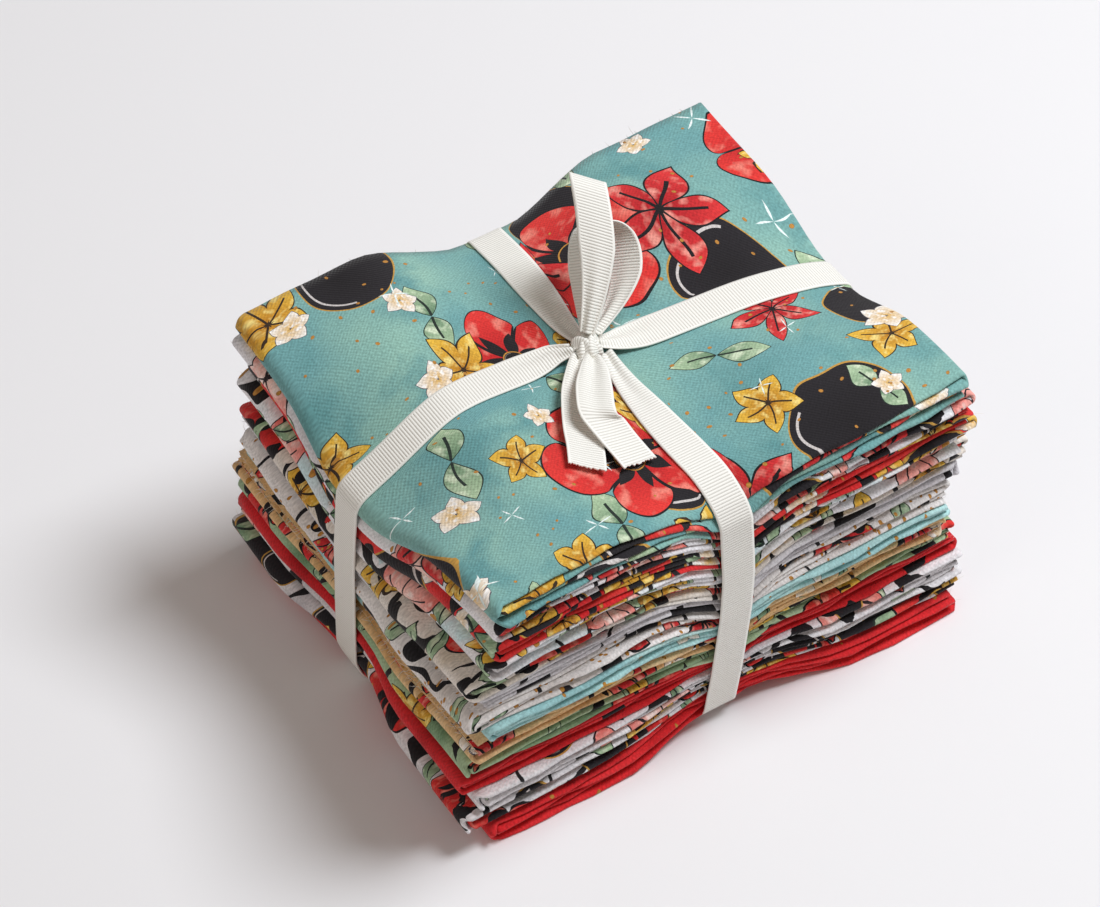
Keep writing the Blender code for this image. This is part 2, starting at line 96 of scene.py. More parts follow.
TIE_X_FRONT, TIE_X_KNOT, TIE_X_BACK = 1.0, -4.0, 0.5
TIE_Y_LEFT, TIE_Y_KNOT, TIE_Y_RIGHT = 6.5, 0.5, -5.5
GROOVE_HALF_WIDTH = 6.5
CELLS = 5
SHOULDER_X = 36.0
SHOULDER_Y_FRONT = 33.0
SHOULDER_Y_BACK = 35.0
EDGE_KEEP = 0.3
EDGE_PUSH = 2.2
LEFT_EDGE_PUSH = 0.2
FRONT_BULGE = 2.6

# How the ribbon rounds the top off at an edge: how far in it starts, how deep it gets at the edge, how late
# it bends, and how far it spreads beside the ribbon
Shoulder = namedtuple("Shoulder", "start drop bend spread")
LEFT_SHOULDER = Shoulder(30, 8.8, 1.5, 36)
RIGHT_SHOULDER = Shoulder(15, 3.0, 2, 17)
FRONT_SHOULDER = Shoulder(14, 8.5, 2, 11)

# Waves of the cloth, with their height and their size along it
Wave = namedtuple("Wave", "height size")
TOP_WAVE = Wave(0.16, 34)
TOP_CREASE = Wave(0.32, 11)
INNER_WAVE = Wave(0.052, 52)
LIP_WAVE = Wave(0.8, 46)
LIP_CRINKLE = Wave(0.45, 15)
BACK_WAVE = Wave(0.4, 38)
LIP_GAPE = Wave(0.38, 19)
PLY_SAG = Wave(0.05, 21)
LIP_SAG = Wave(0.17, 23)

FatQuarter = namedtuple("FatQuarter", "colour height left right front back turn lips outer_fold flipped")
FAT_QUARTERS = [
    FatQuarter("teal", 6.3, -1.4, -1.0, 1.0, 2.6, 1.6, (1.6, 0.2, 0.4, -0.6), "left", False),
    FatQuarter("white_coral", 6.2, -1.0, 0.4, 1.4, 3.0, 2.2, (0.4, -0.8, 0.9, 0.2), "left", False),
    FatQuarter("red", 5.9, -1.6, 1.6, 1.8, -0.6, -0.4, (0.8, 0.0, -0.9, 0.5), "left", True),
    FatQuarter("white_leaf", 7.0, 0.2, -1.2, 1.6, 1.8, 0.6, (0.6, -1.4, -0.2, 0.9), "left", False),
    FatQuarter("white_red", 5.9, 3.6, 1.6, -0.8, -2.0, -3.0, (0.4, 0.9, -0.6, 0.2), "left", False),
    FatQuarter("grey", 5.9, 1.2, -1.0, -0.4, -0.4, -0.6, (-0.7, 0.6, -0.2, 0.8), "right", False),
    FatQuarter("white_gold", 6.2, 4.2, -3.8, 0.2, -1.2, -3.4, (0.9, -0.4, 0.5, -0.6), "left", False),
    FatQuarter("aqua", 5.8, 0.6, -3.6, 1.0, -0.8, 0.4, (-0.4, 1.2, 0.0, 1.3), "left", True),
    FatQuarter("beige", 5.9, 3.8, -4.4, 0.0, 2.4, -1.0, (0.7, -0.5, 1.0, -0.2), "right", True),
    FatQuarter("green_black", 5.8, 4.6, -0.8, -1.0, 0.0, -3.0, (0.2, 0.8, -0.7, -0.1), "left", False),
    FatQuarter("red_dark", 5.9, 5.8, 0.8, -1.2, 0.2, -4.0, (0.9, -0.9, 0.3, 0.9), "left", True),
    FatQuarter("white_line", 6.1, 3.0, 1.0, 1.0, 1.4, -1.4, (-0.5, 0.8, -1.0, 0.6), "left", False),
    FatQuarter("black_red", 6.4, 6.2, 1.4, 0.6, 2.8, -3.4, (0.2, 1.0, -0.4, 0.9), "left", False),
    FatQuarter("bright_red", 6.7, 1.0, -0.6, 2.6, -1.6, -0.4, (0.8, -1.1, 0.5, -0.6), "left", True),
]

# How far the ribbon presses the top down and lifts the underside: a row for each line across the stack from
# front to back, and in it a value for each line from left to right
TOP_DIP = np.array((
    (2.2, 0.4, 6.5, 6.5, 2.4, 1.0),
    (4.0, -0.6, 3.8, 3.8, -0.2, 2.0),
    (11.8, 3.6, 3.4, 3.4, 3.0, 7.4),
    (11.8, 3.6, 3.4, 3.4, 3.0, 7.4),
    (3.8, -0.2, 4.8, 4.8, 0.0, 2.4),
    (2.6, 1.4, 9.6, 9.6, 2.2, 1.4),
))
BOTTOM_LIFT = np.array((
    (0.0, 0.0, 4.6, 4.6, 0.0, 0.0),
    (0.0, 0.0, 3.7, 3.7, 0.0, 0.0),
    (1.9, 1.9, 3.6, 3.6, 1.9, 1.9),
    (1.9, 1.9, 3.6, 3.6, 1.9, 1.9),
    (0.0, 0.0, 3.3, 3.3, 0.0, 0.0),
    (0.0, 0.0, 3.2, 3.2, 0.0, 0.0),
))


def tie_x(y):
    """X of the band that runs along Y, in mm."""
    front = TIE_X_FRONT + (TIE_X_KNOT - TIE_X_FRONT) * (y + HALF_WIDTH) / (TIE_Y_KNOT + HALF_WIDTH)
    back = TIE_X_KNOT + (TIE_X_BACK - TIE_X_KNOT) * (y - TIE_Y_KNOT) / (HALF_WIDTH - TIE_Y_KNOT)
    return np.where(y < TIE_Y_KNOT, front, back)


def tie_y(x):
    """Y of the band that runs along X, in mm."""
    left = TIE_Y_LEFT + (TIE_Y_KNOT - TIE_Y_LEFT) * (x + HALF_LENGTH) / (TIE_X_KNOT + HALF_LENGTH)
    right = TIE_Y_KNOT + (TIE_Y_RIGHT - TIE_Y_KNOT) * (x - TIE_X_KNOT) / (HALF_LENGTH - TIE_X_KNOT)
    return np.where(x < TIE_X_KNOT, left, right)


def column_lines(y):
    middle = tie_x(y)
    flat = np.zeros_like(middle)
    return np.stack((flat - HALF_LENGTH, flat - SHOULDER_X, middle - GROOVE_HALF_WIDTH,
                     middle + GROOVE_HALF_WIDTH, flat + SHOULDER_X, flat + HALF_LENGTH))


def row_lines(x):
    middle = tie_y(x)
    flat = np.zeros_like(middle)
    return np.stack((flat - HALF_WIDTH, flat - SHOULDER_Y_FRONT, middle - GROOVE_HALF_WIDTH,
                     middle + GROOVE_HALF_WIDTH, flat + SHOULDER_Y_BACK, flat + HALF_WIDTH))


def picked(rows, index):
    """From each column, the value in the row that its index gives."""
    return np.take_along_axis(rows, index[None], 0)[0]


def through(lines, values, at):
    """A smooth curve without overshoot through the values at the lines, read at each place."""
    gaps = np.diff(lines, axis=0)
    rises = np.diff(values, axis=0) / gaps
    slopes = np.empty_like(lines)
    slopes[0], slopes[-1] = rises[0], rises[-1]
    before, after = rises[:-1], rises[1:]
    weight_1, weight_2 = 2 * gaps[1:] + gaps[:-1], gaps[1:] + 2 * gaps[:-1]
    same_way = before * after > 1e-12
    safe_before, safe_after = np.where(same_way, before, 1), np.where(same_way, after, 1)
    harmonic = (weight_1 + weight_2) / (weight_1 / safe_before + weight_2 / safe_after)
    slopes[1:-1] = np.where(same_way, harmonic, 0)
    cell = np.clip((at[None] > lines[1:-1]).sum(axis=0), 0, len(lines) - 2)
    start, gap = picked(lines, cell), picked(gaps, cell)
    v0, v1 = picked(values, cell), picked(values, cell + 1)
    m0, m1 = picked(slopes, cell), picked(slopes, cell + 1)
    share = (at - start) / gap
    t = np.clip(share, 0, 1)
    curve = ((2 * t**3 - 3 * t**2 + 1) * v0 + (t**3 - 2 * t**2 + t) * gap * m0
             + (3 * t**2 - 2 * t**3) * v1 + (t**3 - t**2) * gap * m1)
    return curve + np.minimum(share, 0) * gap * m0 + np.maximum(share - 1, 0) * gap * m1


def read_table(table, x, y):
    columns = column_lines(y)
    crossings = [through(columns, np.broadcast_to(row[:, None], columns.shape), x) for row in table]
    return through(row_lines(x), np.stack(crossings), y)


def ripples(wave, seed, x, y, shift=0.0):
    """A few crossing waves of about the given height and size."""
    total = np.zeros(np.broadcast(x, y).shape)
    for turn in range(4):
        angle = 2.4 * turn + 1.7 * seed
        stretch = 2 * math.pi / (wave.size * (0.7 + 0.25 * turn))
        phase = 5.1 * seed * (turn + 1) + shift * (1 + 0.4 * turn)
        total += np.sin((x * math.cos(angle) + y * math.sin(angle)) * stretch + phase)
    return wave.height * total / 3


def rounded_off(past_edge, off, shoulder):
    """How far the ribbon rounds the top off, at places so far past an edge and so far off the ribbon."""
    share = np.clip((past_edge + shoulder.start) / shoulder.start, 0, 1.1)
    return shoulder.drop * share ** shoulder.bend * np.exp(-(off / shoulder.spread) ** 2)


def squeezed(x, y, z):
    """Points of the plain stack, moved to where the ribbon pulls them; all in flat arrays of mm."""
    off_x, off_y = np.abs(x - tie_x(y)), np.abs(y - tie_y(x))
    off_groove = np.minimum(off_x, off_y) - GROOVE_HALF_WIDTH
    beside = np.clip(off_groove / 2, 0, 1) * np.exp(-np.maximum(off_groove, 0) / 9)
    top = (STACK_HEIGHT - read_table(TOP_DIP, x, y) + ripples(TOP_WAVE, 3, x, y)
           + beside * ripples(TOP_CREASE, 6, x, y))
    top = top - rounded_off(-x - HALF_LENGTH, off_y, LEFT_SHOULDER)
    top = top - rounded_off(x - HALF_LENGTH, off_y, RIGHT_SHOULDER)
    top = top - rounded_off(-y - HALF_WIDTH, off_x, FRONT_SHOULDER)
    bottom = read_table(BOTTOM_LIFT, x, y)
    level = z / STACK_HEIGHT
    level = level + level * (1 - level) * ripples(INNER_WAVE, 2, x, y, 7 * level)
    return bottom + (top - bottom) * level


def groove_share(value, middle, shoulder):
    """1 under the ribbon, falling smoothly to 0 at the shoulder of its groove."""
    t = 1 - np.clip((np.abs(value - middle) - GROOVE_HALF_WIDTH) / (shoulder - GROOVE_HALF_WIDTH), 0, 1)
    return t * t * (3 - 2 * t)


def stand_out(amount, share, push=EDGE_PUSH):
    return amount + (amount * EDGE_KEEP - push - amount) * share


def side_reach(quarter, side, y):
    """How far from the middle of the stack the pad's edge stands on one side."""
    own, push = quarter.right, EDGE_PUSH
    if side < 0:
        own, push = quarter.left + quarter.turn * y / FOLDED_WIDTH, LEFT_EDGE_PUSH
    middle = tie_y(np.full_like(y, side * HALF_LENGTH))
    return HALF_LENGTH + stand_out(own, groove_share(y, middle, SHOULDER_Y_FRONT), push)


Station = namedtuple("Station", "cell left_inset right_inset height normal_x normal_z panel")


def panel_stations(height, level, face, toward, left_inset, right_inset, fineness):
    """One flat panel of the pad, from one side of the stack to the other."""
    cells = [cell + step / fineness for cell in range(CELLS) for step in range(fineness)] + [CELLS]
    if toward < 0:
        cells.reverse()
    return [Station(cell, left_inset, right_inset, height, 0, face, level) for cell in cells]


def fold_stations(start, end, level_start, level_end, side, face, depth, extra_inset, steps):
    """A rounded fold at one side, without the two ends that its panels have already."""
    middle, half = (start + end) / 2, abs(end - start) / 2
    upward = math.copysign(1, start - middle)
    stations = []
    for step in range(1, steps):
        turn = math.pi * step / steps
        normal = Vector((side * math.sin(turn) / depth, upward * math.cos(turn) / half)).normalized()
        inset = extra_inset + depth * (1 - math.sin(turn))
        stations.append(Station(
            0 if side < 0 else CELLS, inset, inset, middle + (start - middle) * math.cos(turn),
            face * upward * normal.x, face * upward * normal.y,
            level_start + (level_end - level_start) * step / steps,
        ))
    return stations


def folded_section(quarter, base, fineness):
    """The stations of the folded pad in its section, from one cut end to the other."""
    step = (quarter.height - PIECE_GAP - PAD_THICKNESS) / 3
    levels = [3, 2, 1, 0] if quarter.flipped else [0, 1, 2, 3]
    face = 1 if quarter.flipped else -1
    height = [base + PAD_THICKNESS / 2 + step * level for level in range(4)]
    closed = -1 if quarter.outer_fold == "left" else 1
    outer, second, third, last = levels
    depth = abs(height[last] - height[outer]) * 0.5
    insets = {}
    for name, at_closed, at_open in (("outer", depth, OUTER_CUT_INSET), ("last", depth, SMALL_FOLD_DEPTH),
                                     ("third", depth, SMALL_FOLD_DEPTH), ("second", depth, INNER_CUT_INSET)):
        insets[name] = (at_closed, at_open) if closed < 0 else (at_open, at_closed)
    stations = panel_stations(height[outer], outer, face, closed, *insets["outer"], fineness)
    stations += fold_stations(height[outer], height[last], outer, last, closed, face, depth, 0,
                              OUTER_FOLD_STEPS)
    stations += panel_stations(height[last], last, -face, -closed, *insets["last"], fineness)
    stations += fold_stations(height[last], height[third], last, third, -closed, -face,
                              SMALL_FOLD_DEPTH, 0, SMALL_FOLD_STEPS)
    stations += panel_stations(height[third], third, face, closed, *insets["third"], fineness)
    stations += fold_stations(height[third], height[second], third, second, closed, face,
                              INNER_FOLD_DEPTH, depth - INNER_FOLD_DEPTH, SMALL_FOLD_STEPS)
    stations += panel_stations(height[second], second, -face, -closed, *insets["second"], fineness)
    return stations


PlyStation = namedtuple("PlyStation", "share front_inset back_inset offset")


def ply_stations(fineness, inner_fineness):
    """The four plies of the pad, along the width of the flat cloth: out over the front and back."""
    outer = (PAD_THICKNESS - CLOTH_THICKNESS) / 2
    inner = outer / 3
    front, nested, nested_depth = 0.62, 0.85, 0.3
    first_cut, last_cut, back_fold, back_depth = 0.2, 1.1, 0.5, 0.35
    fine = [i / (CELLS * fineness) for i in range(CELLS * fineness + 1)]
    coarse = [i / (CELLS * inner_fineness) for i in range(CELLS * inner_fineness + 1)]
    stations = [PlyStation(share, front, first_cut, outer) for share in reversed(fine)]
    for step in range(1, 8):
        turn = math.pi * step / 8
        stations.append(PlyStation(0, front * (1 - math.sin(turn)), 0, outer * math.cos(turn)))
    stations += [PlyStation(share, front, back_depth + back_fold, -outer) for share in fine]
    for step in range(1, 4):
        turn = math.pi * step / 4
        offset = -(outer + inner) / 2 - (outer - inner) / 2 * math.cos(turn)
        stations.append(PlyStation(1, 0, back_fold + back_depth * (1 - math.sin(turn)), offset))
    stations += [PlyStation(share, nested, back_depth + back_fold, -inner) for share in reversed(coarse)]
    for step in range(1, 4):
        turn = math.pi * step / 4
        stations.append(PlyStation(0, nested - nested_depth * math.sin(turn), 0, -inner * math.cos(turn)))
    stations += [PlyStation(share, nested, last_cut, inner) for share in coarse]
    return stations


def running_length(points):
    steps = np.linalg.norm(np.diff(points, axis=0), axis=1)
    return np.concatenate(((0,), np.cumsum(steps)))


def folded_cloth(quarter, number, base, fineness):
    """Places in mm of the folded cloth's points, and where each lies on the flat cloth."""
    across = folded_section(quarter, base, fineness)
    along = ply_stations(fineness, max(2, fineness - 2))
    shape = (len(across), len(along))
    cell, left_inset, right_inset, height, normal_x, normal_z, panel = (
        np.repeat(np.array(column, dtype=float), shape[1]) for column in zip(*across))
    share, front_inset, back_inset, offset = (
        np.tile(np.array(column, dtype=float), shape[0]) for column in zip(*along))
    lips = np.interp(panel, range(4), quarter.lips)
    place = np.minimum(cell.astype(int), CELLS - 1)
    part = cell - place
    y = (share - 0.5) * FOLDED_WIDTH
    for _ in range(3):
        lines = column_lines(y)
        lines[0] = left_inset - side_reach(quarter, -1, y)
        lines[-1] = side_reach(quarter, 1, y) - right_inset
        low, high = picked(lines, place), picked(lines, place + 1)
        x = low + (high - low) * part
        rows = row_lines(x)
        push = EDGE_PUSH - FRONT_BULGE * np.sin(math.pi * np.clip(height / STACK_HEIGHT, 0, 1))
        share_x = groove_share(x, TIE_X_FRONT, SHOULDER_X)
        front = HALF_WIDTH + stand_out(quarter.front + lips, share_x, push)
        back = HALF_WIDTH + stand_out(quarter.back, groove_share(x, TIE_X_BACK, SHOULDER_X))
        front += ripples(LIP_WAVE, number, x, 0 * x, 1.4 * panel)
        front += ripples(LIP_CRINKLE, number + 3.3, x, 0 * x, 2.1 * panel)
        back += ripples(BACK_WAVE, number + 7.7, x, 0 * x, 1.4 * panel)
        rows[0] = front_inset - front
        rows[-1] = back - back_inset
        row = np.minimum((share * CELLS).astype(int), CELLS - 1)
        low, high = picked(rows, row), picked(rows, row + 1)
        y = low + (high - low) * (share * CELLS - row)
    at_lip = np.exp(-np.maximum(y + front, 0) / 5) + np.exp(-np.maximum(back - y, 0) / 5)
    offset = offset * (1 + at_lip * ripples(LIP_GAPE, number + 6.7, x, y, 3.1 * panel))
    x = x + normal_x * offset
    z = height + normal_z * offset
    sag = ripples(PLY_SAG, number + 2.3, x, y) + at_lip * ripples(LIP_SAG, number + 4.1, x, y, 2.3 * panel)
    z = z + sag * np.minimum(1, z)
    z = np.maximum(squeezed(x, y, z), CLOTH_THICKNESS / 2)
    places = np.stack((x, y, z), axis=1) + FRAME_SHIFT

    section = np.array([(station.cell * FOLDED_LENGTH / CELLS, station.height) for station in across])
    widths = np.array([(station.share * FOLDED_WIDTH, station.offset) for station in along])
    u, v = running_length(section), running_length(widths)
    u, v = u * FLAT_LENGTH / u[-1], v * FLAT_WIDTH / v[-1]
    flat = np.stack((np.repeat(u, shape[1]), np.tile(v, shape[0])), axis=1)
    return places, flat, shape


def woven_piece(name, places, flat, shape, thickness, material):
    """A sheet of cloth through a grid of places in mm, with its flat places as its UV map in metres."""
    rows, columns = shape
    index = np.arange(rows * columns).reshape(rows, columns)
    corners = index[:-1, :-1], index[1:, :-1], index[1:, 1:], index[:-1, 1:]
    quads = np.stack(corners, axis=-1).reshape(-1, 4)
    mesh = bpy.data.meshes.new(name)
    mesh.from_pydata((places * 0.001).tolist(), [], quads.tolist())
    layer = mesh.uv_layers.new(name="flat_cloth")
    layer.data.foreach_set("uv", (flat[quads.ravel()] * 0.001).ravel())
    mesh.shade_smooth()
    mesh.materials.append(material)
    piece = in_scene(name, mesh)
    solidify = piece.modifiers.new("cloth thickness", "SOLIDIFY")
    solidify.thickness = thickness * 0.001
    solidify.offset = 0
    return piece


def linear(colour):
    """An sRGB hex colour as linear red, green, blue and alpha."""
    parts = [int(colour[i:i + 2], 16) / 255 for i in (1, 3, 5)]
    return tuple(p / 12.92 if p <= 0.04045 else ((p + 0.055) / 1.055) ** 2.4 for p in parts) + (1,)


def set_inputs(node, inputs):
    """Set a node's inputs, in order or by name or number. Each is a value, or a socket or node that is
    linked to it; of a node, the first socket in use."""
    for place, value in inputs.items() if isinstance(inputs, dict) else enumerate(inputs):
        if isinstance(value, bpy.types.Node):
            value = next(socket for socket in value.outputs if socket.enabled)
        if isinstance(value, bpy.types.NodeSocket):
            node.id_data.links.new(value, node.inputs[place])
        else:
            node.inputs[place].default_value = value


def add_node(tree, kind, inputs=(), operation=None, **settings):
    """A shader node with its inputs and its settings."""
    node = tree.nodes.new("ShaderNode" + kind)
    if operation:
        node.operation = operation
    for name, value in settings.items():
        setattr(node, name, value)
    set_inputs(node, inputs)
    return node


def new_material(name):
    """A material, its shader, and the call that adds a node to it."""
    material = bpy.data.materials.new(name)
    material.use_nodes = True
    return material, material.node_tree.nodes["Principled BSDF"], partial(add_node, material.node_tree)


def mixed(add, share, first, second):
    """The first colour, covered by the second to a share; each is a hex value or a node."""
    first, second = (linear(colour) if isinstance(colour, str) else colour for colour in (first, second))
    return add("Mix", {0: share, 6: first, 7: second}, data_type="RGBA")


def flat_noise(add, place, scale, detail):
    return add("TexNoise", {"Vector": place, "Scale": scale, "Detail": detail}, noise_dimensions="2D")


# petals 0 is a round spot; width is a petal's half width as a share of its length, and 1 gives the broad
# round petals of a poppy; light is the colour of the dry brush strokes on it; line in mm
Motif = namedtuple("Motif", "petals width inner outer light line_colour line vein")
MOTIFS = {
    "red flower": Motif(5, 0.27, "#a8141f", "#e23a3a", "#f3a394", "#1b181b", 0.38, 0.05),
    "poppy": Motif(5, 1, "#b3151e", "#e33a34", "#ef8a7a", "#1b181b", 0.42, 0.0),
    "poppy heart": Motif(7, 0.16, "#1b181b", "#231f22", "#1b181b", "#1b181b", 0.1, 0),
    "heart": Motif(0, 0, "#1b181b", "#231f22", "#7d766f", "#c08a3c", 0.3, 0),
    "coral flower": Motif(6, 0.3, "#f6d4c8", "#e4655c", "#f9e6de", "#2a2024", 0.3, 0.04),
    "yellow flower": Motif(5, 0.33, "#bb7a1e", "#ecc048", "#f6e08c", "#3a2a1c", 0.3, 0.05),
    "white blossom": Motif(5, 0.38, "#dcae52", "#f7f5f1", "#ffffff", "#5f5d66", 0.18, 0.0),
    "leaf": Motif(2, 0.3, "#5d8062", "#b3cca6", "#d7e4c6", "#24302a", 0.28, 0.05),
    "pebble": Motif(0, 0, "#1c191c", "#262327", "#cfc9c6", "#c39546", 0.4, 0),
    "black dot": Motif(0, 0, "#1a171a", "#1a171a", "#1a171a", "#1a171a", 0.1, 0),
    "gold fleck": Motif(0, 0, "#b67d33", "#c7924a", "#c7924a", "#a8702c", 0.1, 0),
    "glint": Motif(4, 0.06, "#f4fbfa", "#e4f3f0", "#ffffff", "#d5ebe7", 0.05, 0),
}


def print_motif(add, below, cloth, name, spacing, size, share, seed):
    """Print one motif on about this share of the cells of a loose grid, over the colours below it. Motifs
    under 3 mm are strewn more loosely; a poppy's heart is larger, so that it stays in its poppy."""
    motif = MOTIFS[name]
    moved = add("Mapping", {"Vector": cloth, "Location": (seed * 37.3, seed * -23.9, 0),
                            "Rotation": (0, 0, 0.9 * seed)})
    loose = 0.9 if size < 3 else 0.3
    cells = add("TexVoronoi", {"Vector": moved, "Scale": 1 / spacing, "Randomness": loose},
                voronoi_dimensions="2D")
    chances = add("SeparateColor", (cells.outputs["Color"],))
    local = add("VectorMath", (moved, cells.outputs["Position"]), "SUBTRACT")
    growth = add("Math", (chances.outputs[2], 0.45, 0.8), "MULTIPLY_ADD")
    smaller = add("VectorMath", {0: local, 3: growth}, "SCALE")
    spin = add("Math", (chances.outputs[0], 2 * math.pi), "MULTIPLY")
    turned = add("VectorRotate", {"Vector": smaller, "Angle": spin}, rotation_type="Z_AXIS")
    reach = add("VectorMath", (turned,), "LENGTH")
    if motif.petals:
        axes = add("SeparateXYZ", (turned,))
        angle = add("Math", (axes.outputs[1], axes.outputs[0]), "ARCTAN2")
        off_axis = add("Math", (angle, math.pi / motif.petals), "PINGPONG")
        cosine = add("Math", (off_axis,), "COSINE")
        sine = add("Math", (off_axis,), "SINE")
        off = add("Math", (reach, sine), "MULTIPLY")
        run = add("Math", (reach, cosine), "MULTIPLY")
        outward = add("Math", (run, size), "DIVIDE", use_clamp=True)
        half_turn = add("Math", (outward, math.pi), "MULTIPLY")
        swell = add("Math", (half_turn,), "SINE")
        edge = add("Math", (swell, motif.width * size), "MULTIPLY")
        inside = add("Math", (edge, off), "SUBTRACT")
        if motif.width == 1:
            lobe = add("Math", (off_axis, motif.petals / 2), "MULTIPLY")
            lobe = add("Math", (lobe,), "COSINE")
            lobe = add("Math", (lobe, 0.4), "POWER")
            edge = add("Math", (lobe, size * 0.4, size * 0.6), "MULTIPLY_ADD")
            inside = add("Math", (edge, reach), "SUBTRACT")
            seam = add("Math", (math.pi / motif.petals, off_axis), "SUBTRACT")
            seam = add("Math", (seam, reach), "MULTIPLY")
            inside = add("Math", (inside, seam), "MINIMUM")
    else:
        outward = add("Math", (reach, size), "DIVIDE", use_clamp=True)
        inside = add("Math", (size, reach), "SUBTRACT")
    colour = mixed(add, outward, motif.inner, motif.outer)
    if size > 2.5 and motif.petals:
        strokes = flat_noise(add, turned, 3.4 / size, 2.5)
        strokes = add("MapRange", {0: strokes, 1: 0.5, 2: 0.7, 4: 0.85})
        colour = mixed(add, strokes, colour, motif.light)
    elif size > 2.0 and not motif.petals:
        arc = add("Math", (outward, 0.82, 0.025), "COMPARE")
        aside = add("VectorMath", (turned, (1, 0.3, 0)), "DOT_PRODUCT")
        aside = add("Math", (aside, size * 0.3), "GREATER_THAN")
        arc = add("Math", (arc, aside), "MULTIPLY")
        colour = mixed(add, arc, colour, motif.light)
    if motif.vein:
        near_axis = add("Math", (off, motif.vein * size * 0.5), "LESS_THAN")
        short = add("Math", (outward, 0.66), "LESS_THAN")
        vein = add("Math", (near_axis, short), "MULTIPLY")
        colour = mixed(add, vein, colour, motif.line_colour)
    rim = add("Math", (inside, motif.line), "LESS_THAN")
    colour = mixed(add, rim, colour, motif.line_colour)
    covered = add("Math", (inside, 0.0), "GREATER_THAN")
    chosen = add("Math", (chances.outputs[1], share), "LESS_THAN")
    printed = add("Math", (covered, chosen), "MULTIPLY")
    return mixed(add, printed, below, colour)


def print_ink_lines(add, below, cloth, size, width, seed):
    """Print thin, broken black contour lines, as of drawn stalks and tendrils."""
    moved = add("VectorMath", (cloth, (seed * 11.7, seed * 41.3, 0)))
    field = flat_noise(add, moved, 1 / size, 1.0)
    away = add("Math", (field, 0.5), "SUBTRACT")
    away = add("Math", (away,), "ABSOLUTE")
    thin = add("Math", (away, width / size), "LESS_THAN")
    breaks = flat_noise(add, moved, 1.4 / size, 0.0)
    kept = add("Math", (breaks, 0.47), "GREATER_THAN")
    lines = add("Math", (thin, kept), "MULTIPLY")
    return mixed(add, lines, below, "#1e1b1e")


